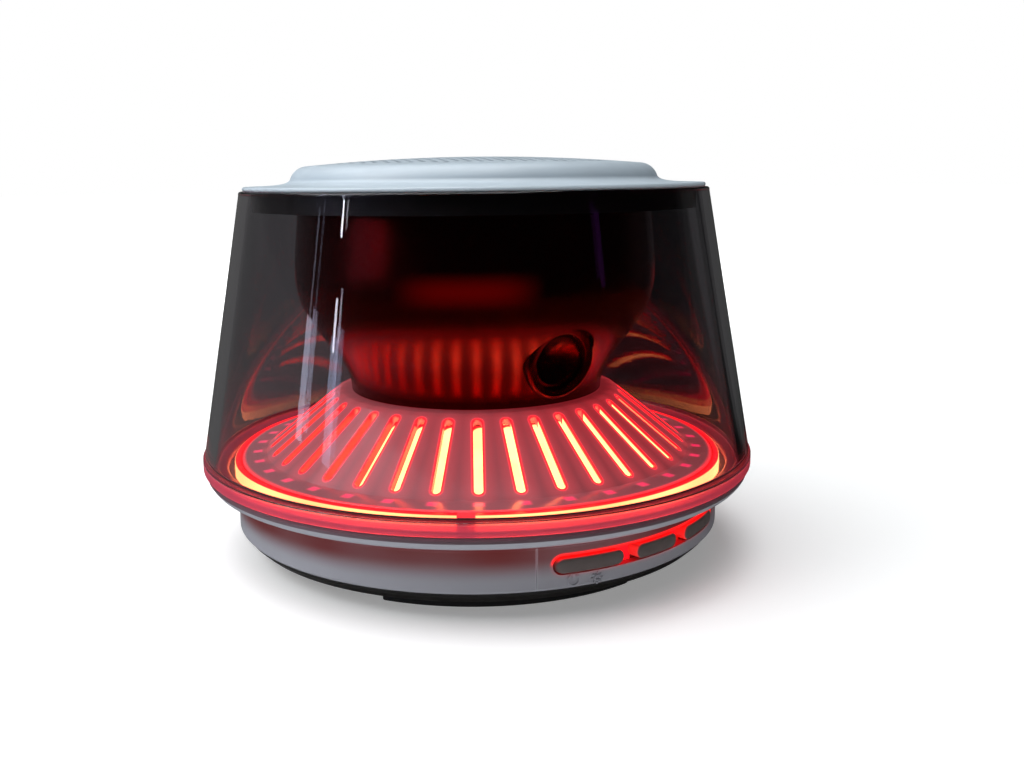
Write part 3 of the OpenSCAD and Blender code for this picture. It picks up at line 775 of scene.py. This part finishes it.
def hole_centres():
    """The centres of a hexagonal field of holes."""
    centres = []
    rows = int(GRILLE_R / HOLE_ROW) + 1
    for row in range(-rows, rows + 1):
        for column in range(-rows - 4, rows + 5):
            x = (column + 0.5 * (row % 2)) * HOLE_PITCH
            y = row * HOLE_ROW
            if math.hypot(x, y) < GRILLE_R - HOLE_R - HOLE_MARGIN:
                centres.append((x, y))
    return centres


def ring_points(cx, cy, radius, steps):
    """Points of a circle round (cx, cy)."""
    angles = [2 * math.pi * i / steps for i in range(steps)]
    return [Vector((cx + radius * math.cos(a), cy + radius * math.sin(a))) for a in angles]


def grille():
    """The crown: a thin domed disc with a hexagonal field of holes."""
    centres = hole_centres()
    loops = [ring_points(0, 0, GRILLE_R, TURNS)]
    loops += [ring_points(cx, cy, HOLE_R, HOLE_STEPS) for cx, cy in centres]
    flat, edges = [], []
    for loop in loops:
        first, count = len(flat), len(loop)
        flat += loop
        edges += [(first + i, first + (i + 1) % count) for i in range(count)]
    points, _, faces, _, _, _ = delaunay_2d_cdt(flat, edges, [], 0, 1e-6)
    near = {}
    for cx, cy in centres:
        near.setdefault((round(cx), round(cy)), []).append((cx, cy))

    def in_hole(x, y):
        return any(
            math.hypot(x - cx, y - cy) < HOLE_R * 0.97
            for i in (-1, 0, 1)
            for j in (-1, 0, 1)
            for cx, cy in near.get((round(x) + i, round(y) + j), [])
        )

    bm = bmesh.new()
    top, under = (
        [bm.verts.new(Vector((p.x, p.y, crown(p.length, drop))) * MM) for p in points]
        for drop in (0.0, GRILLE_T)
    )
    for face in faces:
        middle = sum((points[i] for i in face), Vector((0, 0))) / len(face)
        if middle.length < GRILLE_R and not in_hole(middle.x, middle.y):
            bm.faces.new([top[i] for i in face])
            bm.faces.new([under[i] for i in reversed(face)])
    below = dict(zip(top, under))
    for edge in [e for e in bm.edges if len(e.link_faces) == 1 and e.verts[0] in below]:
        a, b = edge.verts
        bm.faces.new([a, b, below[b], below[a]])
    bmesh.ops.delete(bm, geom=[v for v in bm.verts if not v.link_faces], context="VERTS")
    return bm


finished(grille(), "crown_grille", "top_white_plastic", replaces=["grille_plate"])


# ---- Buttons and icons ----

BUTTON_HALF_H = 1.6
BUTTON_BACK_R = 55
# Each step inward over a button's face: how far in from its outline, and its radius
BUTTON_FACE = [
    (0, BUTTON_BACK_R), (0, BASE_R - 0.1), (0.06, BASE_R + 0.05), (0.22, BASE_R + 0.2),
    (0.5, BASE_R + 0.34), (0.9, BASE_R + 0.43), (1.3, BASE_R + 0.47), (1.54, BASE_R + 0.48),
]
END_STEPS, SIDE_STEPS = 14, 12


def on_wall(x, z, r):
    """The point at x and z on an upright cylinder of radius r, at the front, in metres."""
    return Vector((x, -math.sqrt(r * r - x * x), z)) * MM


def pill(x, width, inset, r):
    """Points of a button's outline, drawn in by an inset, on a cylinder."""
    end_r = BUTTON_HALF_H - inset
    reach = width / 2 - BUTTON_HALF_H
    points = []
    for side in (1, -1):
        for k in range(END_STEPS):
            a = math.pi * (k / END_STEPS - 0.5)
            points.append((side * (reach + end_r * math.cos(a)), side * end_r * math.sin(a)))
        for k in range(SIDE_STEPS):
            points.append((side * reach * (1 - 2 * k / SIDE_STEPS), side * end_r))
    return [on_wall(x + px, BUTTON_Z + pz, r) for px, pz in points]


def pill_end(bm, loop):
    """Closes a pill-shaped loop with a row of narrow faces and two round ends."""
    top = [loop[(END_STEPS + k) % len(loop)] for k in range(SIDE_STEPS + 1)]
    low = [loop[(2 * END_STEPS + SIDE_STEPS + k) % len(loop)] for k in range(SIDE_STEPS + 1)]
    low.reverse()
    for k in range(SIDE_STEPS):
        bm.faces.new([top[k], top[k + 1], low[k + 1], low[k]])
    bm.faces.new(loop[: END_STEPS + 1])
    bm.faces.new(loop[END_STEPS + SIDE_STEPS : 2 * END_STEPS + SIDE_STEPS + 1])


def slab(bm, xs, rs, zs, steps=8):
    """A curved block between two x, two radii and two heights."""
    rows = []
    for k in range(steps + 1):
        x = xs[0] + (xs[1] - xs[0]) * k / steps
        corners = ((rs[0], zs[0]), (rs[1], zs[0]), (rs[1], zs[1]), (rs[0], zs[1]))
        rows.append([bm.verts.new(on_wall(x, z, r)) for r, z in corners])
    for before, after in zip(rows, rows[1:]):
        for k in range(4):
            bm.faces.new([before[k], before[k - 1], after[k - 1], after[k]])
    bm.faces.new(rows[0])
    bm.faces.new(rows[-1])


# Each button's middle and width
BUTTONS = {"power": (-16.85, 14.7), "mode": (0.0, 12.4), "test": (16.85, 14.7)}
TAB_RS, TAB_ZS = (54.5, 55.2), (8.2, 9.7)
STEM_RS, STEM_ZS = (49.7, 55.3), (9.9, 11.9)
STEM_HALF_W = 2

for name, (x, width) in BUTTONS.items():
    bm = bmesh.new()
    loops = [[bm.verts.new(p) for p in pill(x, width, *step)] for step in BUTTON_FACE]
    for before, after in zip(loops, loops[1:]):
        for i in range(len(before)):
            bm.faces.new([before[i - 1], before[i], after[i], after[i - 1]])
    pill_end(bm, loops[0])
    pill_end(bm, loops[-1])
    slab(bm, (x - width / 2 + 1, x + width / 2 - 1), TAB_RS, TAB_ZS)
    slab(bm, (x - STEM_HALF_W, x + STEM_HALF_W), STEM_RS, STEM_ZS)
    finished(bm, name + "_button_cap", "button_plastic", name + "_body", [name + "_button"])

BAR_RS = (52.9, 53.75)
BAR_HALF_L = 24.2
BAR_TOP_ZS, BAR_LOW_ZS = (12.4, 13.45), (8.2, 12.45)
# The spans of x where the bar reaches down, between the stems
BAR_SPANS = ((-BAR_HALF_L, -19.45), (-14.25, -2.6), (2.6, 14.25), (19.45, BAR_HALF_L))

bm = bmesh.new()
slab(bm, (-BAR_HALF_L, BAR_HALF_L), BAR_RS, BAR_TOP_ZS, 24)
for span in BAR_SPANS:
    slab(bm, span, BAR_RS, BAR_LOW_ZS)
finished(bm, "light_bar", "light_guide", replaces=["button_light_strip"])

STROKE_HALF_W = 0.17
STROKE_H = 0.26                   # how far a stroke stands out
STROKE_SINK = 0.05
# A stroke's section: how far aside, as a share of its half width, and how far out
STROKE_SECTION = [
    (1, -STROKE_SINK), (1, STROKE_H * 0.6), (0.55, STROKE_H),
    (-0.55, STROKE_H), (-1, STROKE_H * 0.6), (-1, -STROKE_SINK),
]


def stroke(bm, x, z, points, closed=False):
    """A raised line on the wall along points (across, up) from an icon's middle."""
    points = [Vector(p) for p in points]
    rows = []
    for i, point in enumerate(points):
        before = points[i - 1] if closed or i else point
        after = points[(i + 1) % len(points)] if closed or i + 1 < len(points) else point
        aside = (after - before).normalized().orthogonal() * STROKE_HALF_W
        rows.append(
            [
                bm.verts.new(on_wall(x + point.x + aside.x * k, z + point.y + aside.y * k, BASE_R + out))
                for k, out in STROKE_SECTION
            ]
        )
    joined = list(zip(rows, rows[1:])) + ([(rows[-1], rows[0])] if closed else [])
    for before, after in joined:
        for k in range(len(before)):
            bm.faces.new([before[k - 1], before[k], after[k], after[k - 1]])
    if not closed:
        bm.faces.new(rows[0])
        bm.faces.new(rows[-1])


def circle(radius, start=0.0, end=360.0, steps=32):
    """Points of a circle, or of an arc of it, from one angle to another in degrees."""
    angles = [math.radians(start + (end - start) * k / steps) for k in range(steps + 1)]
    points = [(radius * math.cos(a), radius * math.sin(a)) for a in angles]
    return points[:-1] if end - start >= 360 else points


POWER_AT = (-20.85, 7.85)
LIGHT_AT = (-15.9, 7.5)
RAYS = 8

bm = bmesh.new()
stroke(bm, *POWER_AT, circle(1.1, 125, 415))
stroke(bm, *POWER_AT, [(0, 0.25), (0, 1.3)])
finished(bm, "power_icon", "white_plastic")

bm = bmesh.new()
stroke(bm, *LIGHT_AT, circle(0.5, steps=20), closed=True)
for k in range(RAYS):
    ray = Vector((math.cos(2 * math.pi * k / RAYS), math.sin(2 * math.pi * k / RAYS)))
    stroke(bm, *LIGHT_AT, [ray * 0.85, ray * 1.25])
finished(bm, "light_icon", "white_plastic")


# ---- Stage ----


def stage_material():
    """A pale floor that brightens to the backdrop far from the object."""
    n = Nodes("floor")
    far = n.ramp(n.radius(), 0.15, 0.6, 0.0, 1.0)
    n.set(
        Base_Color=(0.86, 0.86, 0.86, 1),
        Roughness=0.7,
        Emission_Color=(1, 1, 1, 1),
        Emission_Strength=n.math("MAXIMUM", far, 0.28),
    )
    return n.material


FLOOR_R = 6
FLOOR_DROP = 0.0001               # keeps the floor's face clear of the feet's


def floor():
    """A wide round floor, hidden from reflections and from what is seen through the lens."""
    bm = bmesh.new()
    bmesh.ops.create_circle(bm, cap_ends=True, radius=FLOOR_R, segments=64)
    mesh = bpy.data.meshes.new("floor")
    bm.to_mesh(mesh)
    bm.free()
    made = bpy.data.objects.new("floor", mesh)
    mesh.materials.append(stage_material())
    scene.collection.objects.link(made)
    made.location.z = -FLOOR_DROP
    made.visible_transmission = False
    made.visible_glossy = False


def softbox(name, at, target, width, height, power, colour=(1, 1, 1)):
    """An oblong lamp at a point, facing a target."""
    light = bpy.data.lights.new(name, "AREA")
    light.shape = "RECTANGLE"
    light.size, light.size_y = width, height
    light.energy = power
    light.color = colour
    made = bpy.data.objects.new(name, light)
    scene.collection.objects.link(made)
    made.location = at
    made.rotation_euler = (Vector(target) - at).to_track_quat("-Z", "Y").to_euler()


floor()
MIDDLE = (0, 0, 0.03)
top_at = from_front(CAMERA_AZ - math.pi / 2, 0.3, 1.1)
left_at = from_front(CAMERA_AZ - 1.3, 0.7, 0.6)
softbox("top_box", top_at, MIDDLE, 1.4, 1.4, 21, (0.97, 0.99, 1.0))
softbox("left_box", left_at, MIDDLE, 0.5, 0.4, 2.2)
# Each row: azimuth in degrees, distance out, lowest and highest edge, width, power, colour
STRIPS = {
    "glint_strip": (-100.5, 0.77, 0.25, 0.285, 0.012, 0.062, (0.9, 0.95, 1.0)),
    "left_strip": (-99.6, 0.79, 0.05, 0.165, 0.05, 0.15, (0.6, 0.68, 1.0)),
    "left_strip_core": (-100.2, 0.789, 0.15, 0.2, 0.014, 0.08, (0.8, 0.85, 1.0)),
    "left_strip_far": (-113.3, 0.78, 0.05, 0.16, 0.04, 0.15, (0.7, 0.75, 1.0)),
    "left_strip_tip": (-113.3, 0.781, 0.16, 0.26, 0.012, 0.01, (0.7, 0.75, 1.0)),
    "purple_strip": (15.5, 0.775, 0.21, 0.28, 0.03, 0.003, (0.6, 0.1, 1.0)),
}
for name, (azimuth, out, low, high, width, power, colour) in STRIPS.items():
    spot = from_front(math.radians(azimuth), out, (low + high) / 2)
    level = Vector((0, 0, spot.z))
    softbox(name, spot, level, width, high - low, power, colour)


class Sky:
    """The world's node tree. Its values depend on the direction looked in."""

    def __init__(self, name):
        world = bpy.data.worlds.new(name)
        world.use_nodes = True
        scene.world = world
        self.tree = world.node_tree
        self.background = self.tree.nodes["Background"]
        self.where = self.tree.nodes.new("ShaderNodeTexCoord").outputs["Generated"]

    def link(self, source, target):
        self.tree.links.new(source, target)

    def ramp(self, value, low, high, start, end, kind="SMOOTHSTEP"):
        """value from low to high becomes start to end, clamped."""
        node = self.tree.nodes.new("ShaderNodeMapRange")
        node.interpolation_type = kind
        self.link(value, node.inputs[0])
        for socket, given in zip(list(node.inputs)[1:5], (low, high, start, end)):
            socket.default_value = given
        return node.outputs[0]

    def toward(self, azimuth, low, high, most):
        """A patch at an azimuth in degrees, 0 where its cosine is low and most where it is high."""
        along = self.tree.nodes.new("ShaderNodeVectorMath")
        along.operation = "DOT_PRODUCT"
        self.link(self.where, along.inputs[0])
        along.inputs[1].default_value = from_front(math.radians(azimuth), 1.0)
        return self.ramp(along.outputs["Value"], low, high, 0.0, most)

    def height(self):
        node = self.tree.nodes.new("ShaderNodeSeparateXYZ")
        self.link(self.where, node.inputs[0])
        return node.outputs[2]

    def multiply_add(self, *values):
        """The first value times the second, plus the third."""
        node = self.tree.nodes.new("ShaderNodeMath")
        node.operation = "MULTIPLY_ADD"
        for socket, value in zip(node.inputs, values):
            if isinstance(value, bpy.types.NodeSocket):
                self.link(value, socket)
            else:
                socket.default_value = value
        return node.outputs[0]


ROOM = 0.005                      # strength of the light from every side


def studio():
    """A white backdrop for the camera. What the object sees is a dim room, paler on one side."""
    sky = Sky("studio")
    sky.background.inputs["Color"].default_value = (1, 1, 1, 1)
    wall = sky.ramp(sky.height(), 0.115, 0.13, 0.105, 0.035, "LINEAR")
    left = sky.toward(-165, 0.6, 0.68, 1.0)
    right = sky.toward(81, 0.979, 0.984, 0.045)
    edge = sky.toward(110, 0.976, 0.981, 0.06)
    glow = sky.multiply_add(edge, 1.0, ROOM)
    glow = sky.multiply_add(right, 1.0, glow)
    glow = sky.multiply_add(left, wall, glow)
    path = sky.tree.nodes.new("ShaderNodeLightPath")
    choose = sky.tree.nodes.new("ShaderNodeMix")
    sky.link(path.outputs["Is Camera Ray"], choose.inputs[0])
    sky.link(glow, choose.inputs[2])
    choose.inputs[3].default_value = 1.0
    sky.link(choose.outputs[0], sky.background.inputs["Strength"])


studio()

scene.view_settings.view_transform = "Standard"
scene.cycles.caustics_reflective = False
scene.cycles.caustics_refractive = False
scene.cycles.max_bounces = 16
scene.cycles.transmission_bounces = 12
scene.cycles.transparent_max_bounces = 12
scene.cycles.glossy_bounces = 6
